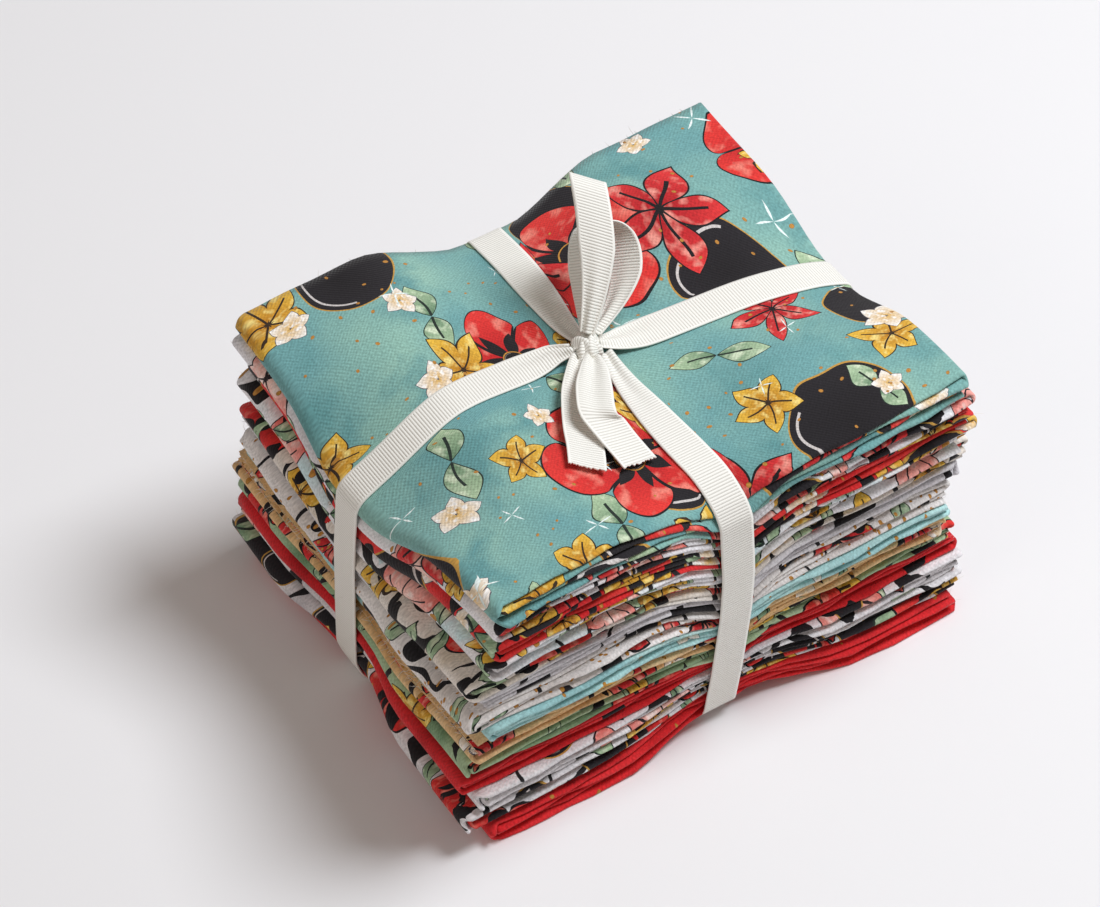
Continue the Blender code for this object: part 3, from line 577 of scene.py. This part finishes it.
# Generic prints of the photographed colours and scale: tones of the ground, ink lines (size and width in
# mm), then motifs from the lowest up with spacing and size in mm and the share of places that have one
Print = namedtuple("Print", "tones ink motifs")
PRINTS = {
    "teal": Print(("#70a3a4", "#96c0b0", "#64999a"), None, (
        ("pebble", 46, 13, 0.75), ("leaf", 37, 12, 0.6), ("poppy", 56, 16.5, 0.75),
        ("poppy heart", 56, 9, 0.75), ("heart", 56, 3.0, 0.75), ("red flower", 47, 14, 0.55),
        ("yellow flower", 35, 8.5, 0.5), ("white blossom", 24, 4.6, 0.45), ("gold fleck", 4.0, 0.42, 0.2),
        ("glint", 21, 3.6, 0.3))),
    "white_coral": Print(("#e3e0e3", "#efedee", "#d6d3d6"), (22, 0.4), (
        ("pebble", 29, 8.5, 0.7), ("leaf", 27, 8.5, 0.5), ("coral flower", 33, 10.5, 0.75),
        ("red flower", 36, 11, 0.7), ("yellow flower", 23, 6.5, 0.55), ("gold fleck", 3.6, 0.42, 0.25))),
    "red": Print(("#d6272b", "#e4403b", "#bf1e23"), (20, 0.35), (
        ("pebble", 29, 8.5, 0.7), ("leaf", 25, 8, 0.55), ("white blossom", 19, 4.8, 0.5),
        ("yellow flower", 24, 7.2, 0.55), ("black dot", 11, 1.7, 0.5), ("gold fleck", 3.4, 0.42, 0.4))),
    "white_leaf": Print(("#e9e7ea", "#f3f1f2", "#cbe3e6"), (19, 0.4), (
        ("leaf", 21, 7, 0.85), ("coral flower", 31, 8, 0.5), ("leaf", 25, 8, 0.7),
        ("yellow flower", 23, 7, 0.6), ("gold fleck", 4.5, 0.9, 0.14))),
    "white_red": Print(("#e2d9cf", "#efe9e2", "#d8cbb9"), (20, 0.4), (
        ("leaf", 19, 6, 0.8), ("poppy", 30, 9.5, 0.9), ("poppy heart", 30, 5, 0.9), ("leaf", 24, 7.5, 0.6),
        ("yellow flower", 21, 6.5, 0.65), ("black dot", 10, 1.6, 0.5))),
    "grey": Print(("#d3d0d4", "#dfdde0", "#c5c2c7"), (40, 0.3), (("gold fleck", 6, 0.4, 0.06),)),
    "white_gold": Print(("#e6e1de", "#f0edeb", "#dad3ce"), (30, 0.35), (
        ("leaf", 25, 7.5, 0.5), ("red flower", 30, 9, 0.6), ("black dot", 15, 2.6, 0.5),
        ("gold fleck", 2.1, 0.42, 0.5))),
    "aqua": Print(("#a6d2d3", "#bce0dd", "#8fc1c5"), None, (
        ("pebble", 41, 6, 0.5), ("white blossom", 22, 4.4, 0.4), ("gold fleck", 4, 0.4, 0.2))),
    "beige": Print(("#e0b680", "#ebcb9c", "#cf9f66"), (20, 0.4), (
        ("leaf", 23, 7.5, 0.6), ("red flower", 31, 9, 0.5), ("white blossom", 21, 4.8, 0.4),
        ("gold fleck", 3, 0.42, 0.3))),
    "green_black": Print(("#93ae88", "#b6caa6", "#6d8d69"), (13, 0.5), (
        ("leaf", 15, 4.8, 0.85), ("yellow flower", 25, 7.5, 0.7), ("poppy", 31, 9, 0.55),
        ("poppy heart", 31, 4, 0.55))),
    "red_dark": Print(("#cf1f26", "#dd2e32", "#b4161d"), None, (("black dot", 19, 2.6, 0.3),)),
    "white_line": Print(("#dfdcdf", "#ebe9ea", "#cfccd0"), (14, 0.45), (
        ("leaf", 23, 7.5, 0.6), ("coral flower", 29, 9, 0.65), ("pebble", 33, 7, 0.4),
        ("black dot", 13, 2.4, 0.5))),
    "black_red": Print(("#dedbdd", "#efedee", "#ccc8cc"), (15, 0.5), (
        ("pebble", 27, 9.5, 0.9), ("leaf", 22, 7.5, 0.7), ("poppy", 31, 9.5, 0.8),
        ("poppy heart", 31, 5.5, 0.8), ("pebble", 24, 6.5, 0.4), ("yellow flower", 25, 7, 0.45),
        ("black dot", 12, 2, 0.5))),
    "bright_red": Print(("#d8242a", "#e43236", "#c41b21"), None, (("gold fleck", 4.6, 0.45, 0.25),)),
}
THREAD_PITCH = 0.5


def printed_cotton(name, printed, seed):
    """Screen-printed quilting cotton, plain weave: matt, with a little fuzz and uneven yarns. Its threads
    lie 0.3 mm apart; they are drawn at 0.5 mm, because finer ones would not show."""
    material, shader, add = new_material(f"printed_cotton_{name}")
    metres = add("UVMap", uv_map="flat_cloth")
    cloth = add("VectorMath", {0: metres, 3: 1000.0}, "SCALE")
    hand = flat_noise(add, cloth, 0.075, 0.0).outputs["Color"]
    hand = add("VectorMath", (hand, (0.5, 0.5, 0.5)), "SUBTRACT")
    hand = add("VectorMath", (hand, (4.5, 4.5, 0)), "MULTIPLY")
    drawn = add("VectorMath", (cloth, hand))

    broad = add("TexNoise", {"Vector": cloth, "Scale": 0.028, "Detail": 3.0, "W": seed * 3.1},
                noise_dimensions="4D")
    broad = add("MapRange", (broad, 0.42, 0.68))
    colour = mixed(add, broad, printed.tones[0], printed.tones[1])
    washes = flat_noise(add, drawn, 0.06, 4.0)
    washes = add("MapRange", (washes, 0.52, 0.72))
    colour = mixed(add, washes, colour, printed.tones[2])
    if printed.ink:
        colour = print_ink_lines(add, colour, drawn, *printed.ink, seed)
    layer = 0
    for motif in printed.motifs:
        layer += "heart" not in motif[0]
        colour = print_motif(add, colour, drawn, *motif, seed + 5 * layer)

    axes = add("SeparateXYZ", (cloth,))
    threads = []
    for axis in (0, 1):
        phase = add("Math", (axes.outputs[axis], math.pi / THREAD_PITCH), "MULTIPLY")
        threads.append(add("Math", (phase,), "SINE"))
    weave = add("Math", (threads[0], threads[1]), "MULTIPLY")
    slubs = flat_noise(add, cloth, 1.7, 2.0)
    # Painted weave shade: the colour follows the weave's height, a little darker between the threads; the
    # slub noise adds the real unevenness of the yarns
    weave_shade_and_slubs = add("Math", (weave, 0.045, slubs), "MULTIPLY_ADD")
    weave_shade_and_slubs = add("MapRange", (weave_shade_and_slubs, 0.3, 0.7, 0.83, 1.12))
    colour = add("VectorMath", {0: colour, 3: weave_shade_and_slubs}, "SCALE")
    bump = add("Bump", {"Strength": 0.35, "Distance": 0.00015, "Height": weave})
    set_inputs(shader, {"Base Color": colour, "Normal": bump, "Roughness": 0.88, "Specular IOR Level": 0.25,
                        "Sheen Weight": 0.12, "Sheen Roughness": 0.5})
    return material


def normalised(vectors):
    return vectors / np.maximum(np.linalg.norm(vectors, axis=-1, keepdims=True), 1e-9)


THREAD_CORNERS = (0, 2.094, 4.189)
THREAD_RADIUS = 0.07
THREAD_SPACING = 3.2
FRINGE_DEPTH = 6


def thread_tubes(name, starts, ways, lengths, radius, material):
    """Loose threads as thin, bent, pointed tubes from places in mm."""
    bends = np.random.default_rng(len(starts)).normal(0, 0.35, (len(starts), 3))
    vertices, faces = [], []
    for start, way, length, bend in zip(starts, ways, lengths, bends):
        side = normalised(np.cross(way, (0.31, 0.22, 0.92)))
        up = np.cross(side, way)
        first = len(vertices)
        for share in (0.0, 0.35, 0.7):
            middle = start + way * length * share + bend * length * share * share
            for turn in THREAD_CORNERS:
                rim = (side * math.cos(turn) + up * math.sin(turn)) * radius * (1 - 0.4 * share)
                vertices.append(middle + rim)
        vertices.append(start + way * length + bend * length)
        for step in (0, 3):
            for turn in range(3):
                a, b = first + step + turn, first + step + (turn + 1) % 3
                faces.append((a, b, b + 3, a + 3))
        faces += [(first + 6, first + 7, first + 9), (first + 7, first + 8, first + 9),
                  (first + 8, first + 6, first + 9), (first + 2, first + 1, first)]
    vertices = np.array(vertices)
    vertices[:, 2] = np.maximum(vertices[:, 2], 0.05)
    mesh = bpy.data.meshes.new(name)
    mesh.from_pydata((vertices * 0.001).tolist(), [], faces)
    mesh.materials.append(material)
    return in_scene(name, mesh)


def raw_edges(places, shape, seed):
    """Where the threads of the four raw edges start, which way they point and how long they are."""
    grid = places.reshape(*shape, 3)
    chance = np.random.default_rng(seed)
    starts, ways = [], []
    edges = grid[0], grid[-1], grid[:, 0], grid[:, -1]
    inner_lines = grid[1], grid[-2], grid[:, 1], grid[:, -2]
    for edge, inward in zip(edges, inner_lines):
        run = running_length(edge)
        count = int(run[-1] / THREAD_SPACING)
        spots = chance.uniform(0, run[-1], count)
        outward = normalised(edge - inward) + 0 * edge
        start = np.stack([np.interp(spots, run, column) for column in edge.T], axis=1)
        way = np.stack([np.interp(spots, run, column) for column in outward.T], axis=1)
        starts.append(start)
        ways.append(normalised(way + chance.normal(0, 0.28, way.shape)))
    starts, ways = np.vstack(starts), np.vstack(ways)
    reach = np.abs(starts - FRAME_SHIFT)
    outside = (reach[:, 0] > HALF_LENGTH - FRINGE_DEPTH) | (reach[:, 1] > HALF_WIDTH - FRINGE_DEPTH)
    starts, ways = starts[outside], ways[outside]
    return starts, ways, chance.gamma(2.0, 0.28 if seed < 4 else 0.42, len(starts)) + 0.1


# Undyed cotton thread from the raw edges: the print covers only its outer side, so it looks off-white
loose_thread, thread_shader, add = new_material("undyed_cotton_thread")
twist = add("TexCoord").outputs["Object"]
twist = add("TexNoise", {"Vector": twist, "Scale": 900.0})
twist = mixed(add, twist, "#c9c2b8", "#f4f1ea")
set_inputs(thread_shader, {"Base Color": twist, "Roughness": 0.9})

cloth_places = []
base = STACK_HEIGHT + PIECE_GAP
for number, quarter in enumerate(FAT_QUARTERS, start=1):
    base = base - quarter.height if number < len(FAT_QUARTERS) else 0.0
    places, flat, shape = folded_cloth(quarter, number, base, 8 if number == 1 else 5)
    cloth_places.append(places)
    cotton = printed_cotton(quarter.colour, PRINTS[quarter.colour], number)
    piece = woven_piece(f"cloth_{number:02d}_{quarter.colour}", places, flat, shape, CLOTH_THICKNESS, cotton)
    node = f"fat_quarter_{number:02d}_{quarter.colour}"
    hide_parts(node)
    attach(piece, "root")
    fringe = thread_tubes(f"loose_threads_{number:02d}", *raw_edges(places, shape, number), THREAD_RADIUS,
                          loose_thread)
    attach(fringe, "root")


# The ribbon's two bands
# One length of off-white grosgrain, 9.5 mm wide, goes under the stack and up over it both ways, and
# meets itself in the knot on top. It lies taut over the outermost folds and gathers towards the knot.

RIBBON_WIDTH = 9.5
RIBBON_THICKNESS = 0.4
RIB_PITCH = 0.8
KNOT_SIZE = (8.0, 8.5, 6.0)
KNOT_END_WIDTH = 3.4
BAND_TAPER = 16.0
FRONT_TAPER = 38.0
BACK_TAPER = 34.0
BAND_BEND, BEND_START, BEND_END, BEND_FADE = 3.2, 8, 58, 32
FRONT_LEAN, LEAN_LIMIT, LEAN_HEIGHT = 0.078, 0.5, 46
FACE_START, FACE_FADE = 42, 14
KNOT_RISE, RISE_LENGTH = 2.6, 13
GATHER_LENGTH = 24


def grosgrain(name):
    """Polyester grosgrain: matt, with weft ribs straight across it and a flat selvage on both sides.
    Its ribs are 0.8 mm apart, as in the photograph. The UV map holds across and along in metres."""
    material, shader, add = new_material(name)
    metres = add("UVMap", uv_map="flat_cloth")
    millimetres = add("VectorMath", {0: metres, 3: 1000.0}, "SCALE")
    axes = add("SeparateXYZ", (millimetres,))
    phase = add("Math", (axes.outputs[1], math.pi / RIB_PITCH), "MULTIPLY")
    wave = add("Math", (phase,), "SINE")
    rib = add("Math", (wave,), "ABSOLUTE")
    off_middle = add("Math", (axes.outputs[0],), "ABSOLUTE")
    selvage = add("MapRange", (off_middle, RIBBON_WIDTH / 2 - 0.75, RIBBON_WIDTH / 2 - 0.55))
    height = add("Mix", {0: selvage, 2: rib, 3: 0.85}, data_type="FLOAT")
    fibres = add("TexNoise", {"Vector": millimetres, "Scale": 2.2, "Detail": 2.0})
    # Painted shade: the colour is darkest in the grooves between the ribs and lightest on their crests and
    # the flat selvage, with random fibre tone mixed in
    groove_shade_and_fibres = add("Math", (fibres, 0.25, height), "MULTIPLY_ADD")
    groove_shade_and_fibres = add("MapRange", (groove_shade_and_fibres, 0.1, 0.85))
    colour = mixed(add, groove_shade_and_fibres, "#d3d0c6", "#f4f2eb")
    bump = add("Bump", {"Strength": 0.6, "Distance": 0.00022, "Height": height})
    set_inputs(shader, {"Base Color": colour, "Normal": bump, "Roughness": 0.62, "Specular IOR Level": 0.4,
                        "Sheen Weight": 0.15, "Sheen Roughness": 0.4})
    return material


def ribbon_strip(name, middles, across, widths, profile, columns=13):
    """A strip of ribbon along its middle line, in mm. profile gives how far each point lies off the strip,
    at right angles to it, from its place across, -1 to 1, and its station along."""
    across = normalised(across)
    out = normalised(np.cross(across, np.gradient(middles, axis=0)))
    sides = np.linspace(-1, 1, columns)
    run = running_length(middles)
    lift = np.array([[profile(side, station) for side in sides] for station in range(len(middles))])
    places = (middles[:, None] + across[:, None] * (sides[None, :, None] * widths[:, None, None] / 2)
              + out[:, None] * lift[:, :, None])
    flat = np.stack((np.broadcast_to(sides * RIBBON_WIDTH / 2, lift.shape),
                     np.broadcast_to(run[:, None], lift.shape)), axis=-1)
    return woven_piece(name, places.reshape(-1, 3), flat.reshape(-1, 2), lift.shape, RIBBON_THICKNESS,
                       ribbon)


def finish_ribbon(piece, node):
    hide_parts(node)
    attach(piece, "root")


def hull(points):
    """Convex hull of points in a plane, counter-clockwise."""
    ordered = sorted(set(points))
    halves = []
    for sequence in (ordered, ordered[::-1]):
        chain = []
        for p in sequence:
            while len(chain) > 1 and ((chain[-1][0] - chain[-2][0]) * (p[1] - chain[-2][1])
                                      <= (chain[-1][1] - chain[-2][1]) * (p[0] - chain[-2][0]) + 1e-9):
                chain.pop()
            chain.append(p)
        halves.append(chain[:-1])
    return np.array(halves[0] + halves[1])


def resampled(path, spacing):
    run = running_length(path)
    places = np.linspace(0, run[-1], max(3, round(run[-1] / spacing)))
    return np.stack([np.interp(places, run, column) for column in path.T], axis=1)


def taut_line(points, knot_place, knot_reach, clearance):
    """The ribbon's line round the stack in its own plane, from one side of the knot to the other."""
    outline = hull([tuple(p) for p in np.round(points, 3)])
    loop = resampled(np.vstack((outline, outline[:1])), 0.5)[:-1]
    for _ in range(6):
        loop = (np.roll(loop, 1, axis=0) + 2 * loop + np.roll(loop, -1, axis=0)) / 4
    ahead = np.roll(loop, -1, axis=0) - np.roll(loop, 1, axis=0)
    loop = loop + normalised(np.stack((ahead[:, 1], -ahead[:, 0]), axis=1)) * clearance
    middle = (knot_place, STACK_HEIGHT / 2)
    turn = np.arctan2(middle[0] - loop[:, 0], loop[:, 1] - middle[1]) % (2 * math.pi)
    loop = loop[np.argsort(turn)]
    clear = (loop[:, 1] < middle[1]) | (np.abs(loop[:, 0] - knot_place) > knot_reach)
    return resampled(loop[clear], 0.9)


def band_across_y(x, z):
    """Y of the band across; left of the knot it runs straight on before it bends towards the knot."""
    from_knot = TIE_X_KNOT - x
    bend = np.clip(from_knot / BEND_START, 0, 1) * np.clip((BEND_END - from_knot) / BEND_FADE, 0, 1)
    return tie_y(x) + np.where(z > STACK_HEIGHT / 2, BAND_BEND * bend * bend * (3 - 2 * bend), 0)


def band_along_x(y, z):
    """X of the band along; on the front face it leans a little, to the left at its foot."""
    on_face = np.clip((-y - FACE_START) / FACE_FADE, 0, 1)
    return tie_x(y) + on_face * np.minimum(FRONT_LEAN * (z - LEAN_HEIGHT), LEAN_LIMIT)


ribbon = grosgrain("grosgrain_ribbon")
cloth_points = np.vstack(cloth_places) - FRAME_SHIFT
for node, along_y, knot_place, knot_reach in (
    ("ribbon_band_across", False, TIE_X_KNOT, KNOT_SIZE[0] / 2 - 1.2),
    ("ribbon_band_along", True, TIE_Y_KNOT, KNOT_SIZE[1] / 2 - 1.2),
):
    run_axis, width_axis = (1, 0) if along_y else (0, 1)
    follow = band_along_x if along_y else band_across_y
    off = cloth_points[:, width_axis] - follow(cloth_points[:, run_axis], cloth_points[:, 2])
    under = cloth_points[np.abs(off) < RIBBON_WIDTH / 2 + 0.4]
    line = taut_line(under[:, (run_axis, 2)], knot_place, knot_reach, 0.5)
    middles = np.zeros((len(line), 3))
    middles[:, run_axis], middles[:, 2] = line[:, 0], line[:, 1]
    middles[:, width_axis] = follow(line[:, 0], line[:, 1])
    middles += FRAME_SHIFT
    across = np.zeros_like(middles)
    across[:, width_axis] = 1
    run = running_length(middles)
    from_knot = np.minimum(run, run[-1] - run)
    to_front = along_y & (middles[:, 1] < 0) & (middles[:, 2] > STACK_HEIGHT / 2)
    taper = np.clip(from_knot / np.where(to_front, FRONT_TAPER, BACK_TAPER if along_y else BAND_TAPER), 0, 1)
    taper = taper * (2 - taper)
    widths = KNOT_END_WIDTH + (RIBBON_WIDTH - KNOT_END_WIDTH) * taper
    middles[:, width_axis] += np.where(to_front, (RIBBON_WIDTH - widths) / 2, 0)
    middles[:, 2] += KNOT_RISE * np.clip(1 - from_knot / RISE_LENGTH, 0, 1) ** 2
    gather = (1 - np.clip(from_knot / GATHER_LENGTH, 0, 1)) ** 1.5

    def gathered(side, station):
        pleats = math.cos(side * math.pi * 1.5 + 0.4)
        return gather[station] * (0.55 + 0.55 * pleats) + 0.05 * (1 - side * side)

    piece = ribbon_strip(node.replace("ribbon_", "grosgrain_"), middles, across, widths, gathered)
    finish_ribbon(piece, node)


# The knot
# The ribbon's two crossing runs are tied in one small knot. Its outside is two short, puckered wraps of the
# same ribbon, pulled so tight that their edges roll under.

knot_seat = float(squeezed(np.array([TIE_X_KNOT]), np.array([TIE_Y_KNOT]), np.array([STACK_HEIGHT]))[0])
KNOT_MIDDLE = np.array((TIE_X_KNOT, TIE_Y_KNOT, knot_seat + 0.35 + KNOT_SIZE[2] / 2)) + FRAME_SHIFT
Wrap = namedtuple("Wrap", "facing half_length half_height width tilt")
WRAPS = {  # facing and tilt in degrees, sizes in mm
    "grosgrain_knot": Wrap(-34, 3.9, 3.1, 6.6, 8),
    "grosgrain_knot_cross": Wrap(14, 3.8, 2.9, 6.6, -12),
}

PUCKER_DEPTH, PUCKER_TURNS = 0.42, 7.0
ROLL_DEPTH, ROLL_BEND = 0.34, 2.6

for name, wrap in WRAPS.items():
    turn, tilt = math.radians(wrap.facing), math.radians(wrap.tilt)
    axis = np.array((math.cos(turn), math.sin(turn), math.sin(tilt)))
    side_way = np.array((-math.sin(turn), math.cos(turn), 0))
    angles = np.linspace(0, 2 * math.pi, 49)
    middles = (KNOT_MIDDLE - np.array((0, 0, 0.15)) + side_way * wrap.half_length * np.cos(angles)[:, None]
               + np.array((0, 0, 1)) * wrap.half_height * np.sin(angles)[:, None])
    across = np.tile(axis, (len(angles), 1))
    widths = wrap.width * (0.86 + 0.14 * np.cos(2 * angles + 0.6))

    def puckered(side, station):
        waver = 0.9 * math.sin(angles[station] * 2 + wrap.facing)
        pleats = PUCKER_DEPTH * math.cos(side * PUCKER_TURNS + waver)
        return pleats + ROLL_DEPTH * wrap.width * abs(side) ** ROLL_BEND

    piece = ribbon_strip(name, middles, across, widths, puckered, columns=21)
    finish_ribbon(piece, "ribbon_knot")


# The bow's loops
# Two loops of the same ribbon stand out of the knot: a tall one, flattened, that shows its front run up
# to a straight fold, and a round one behind it that opens to the right.

Loop = namedtuple("Loop", "root tip across_out across_back swell bulge_out bulge_back widening lean bow")
LOOPS = {
    "ribbon_loop_tall": Loop(
        (0.7, 1.3, 3.2), (15.6, 26.5, 23.4), (0.691, -0.697, -0.191), (0.691, -0.697, -0.191),
        (-0.33, -0.54, 0.77), 4.2, 4.2, 1.5, 1.6, 2.3),
    "ribbon_loop_round": Loop(
        (2.6, 2.6, 1.2), (16.4, 22.0, 11.3), (0.52, -0.76, 0.47), (0.12, -0.74, 0.66),
        (0.785, -0.609, -0.059), 5.4, 7.8, 1.5, 1.3, 2.1),
}
SIDEWAYS = np.array((0.837, -0.548, 0.0))
LOOP_PARTING = 0.85
TIP_CLOSING = 0.6
LOOP_PLEAT = 0.8
LOOP_CUP = 0.3

for node, loop in LOOPS.items():
    turns = np.linspace(0, 2 * math.pi, 90)
    along = (1 - np.cos(turns)) / 2
    reach = np.where(turns < math.pi, loop.bulge_out, loop.bulge_back)
    bulge = np.sin(turns) * np.sin(turns / 2) * reach
    parting = np.sign(math.pi - turns) * LOOP_PARTING * np.minimum(1, np.abs(math.pi - turns) / TIP_CLOSING)
    swell = normalised(np.array(loop.swell))
    middles = (KNOT_MIDDLE + np.array(loop.root) + along[:, None] * np.array(loop.tip)
               + (bulge + parting)[:, None] * swell
               + (loop.lean * along + loop.bow * np.sin(math.pi * along))[:, None] * SIDEWAYS)
    back_share = np.clip((turns / math.pi - 0.6) / 0.7, 0, 1)[:, None]
    back_share = back_share * back_share * (3 - 2 * back_share)
    across = np.array(loop.across_out) * (1 - back_share) + np.array(loop.across_back) * back_share
    widening = RIBBON_WIDTH * loop.widening - KNOT_END_WIDTH
    widths = np.minimum(KNOT_END_WIDTH + along * widening, RIBBON_WIDTH)
    near_knot = (1 - along) ** 3

    def cupped(side, station):
        pleats = near_knot[station] * LOOP_PLEAT * math.cos(side * math.pi * 1.5)
        return pleats - LOOP_CUP * side * side * (1 - along[station])

    piece = ribbon_strip(node.replace("ribbon_", "grosgrain_"), middles, across, widths, cupped)
    finish_ribbon(piece, node)


# The tails
# The ribbon's two cut ends run forward from the knot over the top cloth. They lie nearly flat, with one
# kink in the right one, and the weave frays a little where it was cut.

TAILS = {  # x and y from the knot, rise over the cloth, angle of the width from X in degrees, and the width
    "ribbon_tail_left": (
        (-3.6, -1.4, 3.4, -50, 3.4), (-7.0, -6.0, 3.5, -50, 5.6), (-11.0, -12.5, 3.2, -46, 8.2),
        (-15.9, -21.9, 2.7, -43, 9.5), (-19.4, -29.0, 2.0, -42, 9.5), (-22.4, -34.4, 1.6, -42, 9.5)),
    "ribbon_tail_right": (
        (-0.8, -3.8, 4.0, -42, 3.6), (-3.6, -8.6, 5.6, -42, 6.8), (-7.5, -14.5, 6.7, -43, 9.0),
        (-11.0, -20.6, 7.2, -42, 9.5), (-11.8, -23.2, 6.5, -32, 9.5), (-11.3, -25.2, 5.2, -12, 9.5),
        (-10.8, -30.0, 3.6, -3, 9.5), (-9.8, -38.0, 1.6, 1, 9.5)),
}


TAIL_STEPS = 12
TAIL_COLUMNS = 29
TAIL_PLEAT = 0.5
TAIL_CURL = 0.2


def smooth_rows(rows, steps):
    """Rows on a smooth curve through the given rows."""
    rows = np.array(rows, dtype=float)
    padded = np.vstack((rows[:1], rows, rows[-1:]))
    smooth = []
    for index in range(len(rows) - 1):
        p0, p1, p2, p3 = padded[index:index + 4]
        for t in np.arange(steps + (index == len(rows) - 2)) / steps:
            smooth.append(p1 + 0.5 * t * (p2 - p0 + t * (2 * p0 - 5 * p1 + 4 * p2 - p3
                                                         + t * (3 * (p1 - p2) + p3 - p0))))
    return np.array(smooth)


for number, (node, rows) in enumerate(TAILS.items()):
    smooth = smooth_rows(rows, TAIL_STEPS)
    angle = np.radians(smooth[:, 3])
    edges = []
    for side in (-1, 1):
        x = TIE_X_KNOT + smooth[:, 0] + side * np.cos(angle) * smooth[:, 4] / 2
        y = TIE_Y_KNOT + smooth[:, 1] + side * np.sin(angle) * smooth[:, 4] / 2
        z = squeezed(x, y, np.full_like(x, STACK_HEIGHT)) + smooth[:, 2]
        edges.append(np.stack((x, y, z), axis=1) + FRAME_SHIFT)
    middles = (edges[0] + edges[1]) / 2
    share = np.linspace(0, 1, len(middles))

    def curled(side, station):
        pleats = (1 - share[station]) ** 2 * TAIL_PLEAT * math.cos(side * math.pi * 1.5)
        return pleats - TAIL_CURL * side * side

    piece = ribbon_strip(node.replace("ribbon_", "grosgrain_"), middles, edges[1] - edges[0], smooth[:, 4],
                         curled, columns=TAIL_COLUMNS)
    frays = np.random.default_rng(number + 4)
    forward = normalised(middles[-1] - middles[-2])
    for vertex in piece.data.vertices[-TAIL_COLUMNS:]:
        vertex.co += Vector(forward * float(frays.uniform(-0.25, 0.4))) * 0.001
    finish_ribbon(piece, node)


# The floor and the light
# The bundle stands on a plain pale sweep. A large soft lamp high on the right throws the short, soft
# shadow on the left, and a weak one on the left lifts the shaded face.

sweep = bpy.data.meshes.new("floor")
sweep.from_pydata([(-1.5, -1.5, 0), (1.5, -1.5, 0), (1.5, 1.5, 0), (-1.5, 1.5, 0)], [], [(0, 1, 2, 3)])
floor = in_scene("floor", sweep)
paper, paper_shader, _ = new_material("matt_paper_sweep")
set_inputs(paper_shader, {"Base Color": linear("#ecebec"), "Roughness": 0.8})
sweep.materials.append(paper)

RIGHT = Vector((0.8368, -0.5476, 0))
BACK = Vector((0.5476, 0.8368, 0))
for name, direction, distance, size, power in (
    ("key", RIGHT * 0.72 + BACK * 0.22 + Vector((0, 0, 1.35)), 1.3, 0.6, 16.5),
    ("fill", -RIGHT * 1.0 - BACK * 0.9 + Vector((0, 0, 0.8)), 1.6, 1.2, 3.2),
):
    lamp = bpy.data.lights.new(name, "AREA")
    lamp.shape = "DISK"
    lamp.size = size
    lamp.energy = power
    lamp.color = linear("#f6faff")[:3] if name == "key" else linear("#fff3ea")[:3]
    holder = in_scene(name, lamp)
    holder.location = STACK_CENTRE + direction.normalized() * distance
    holder.rotation_euler = direction.to_track_quat("Z", "Y").to_euler()

world = bpy.data.worlds.new("studio")
world.use_nodes = True
set_inputs(world.node_tree.nodes["Background"], {"Color": linear("#f3e9e1"), "Strength": 0.29})
bpy.context.scene.world = world
bpy.context.scene.view_settings.view_transform = "Standard"
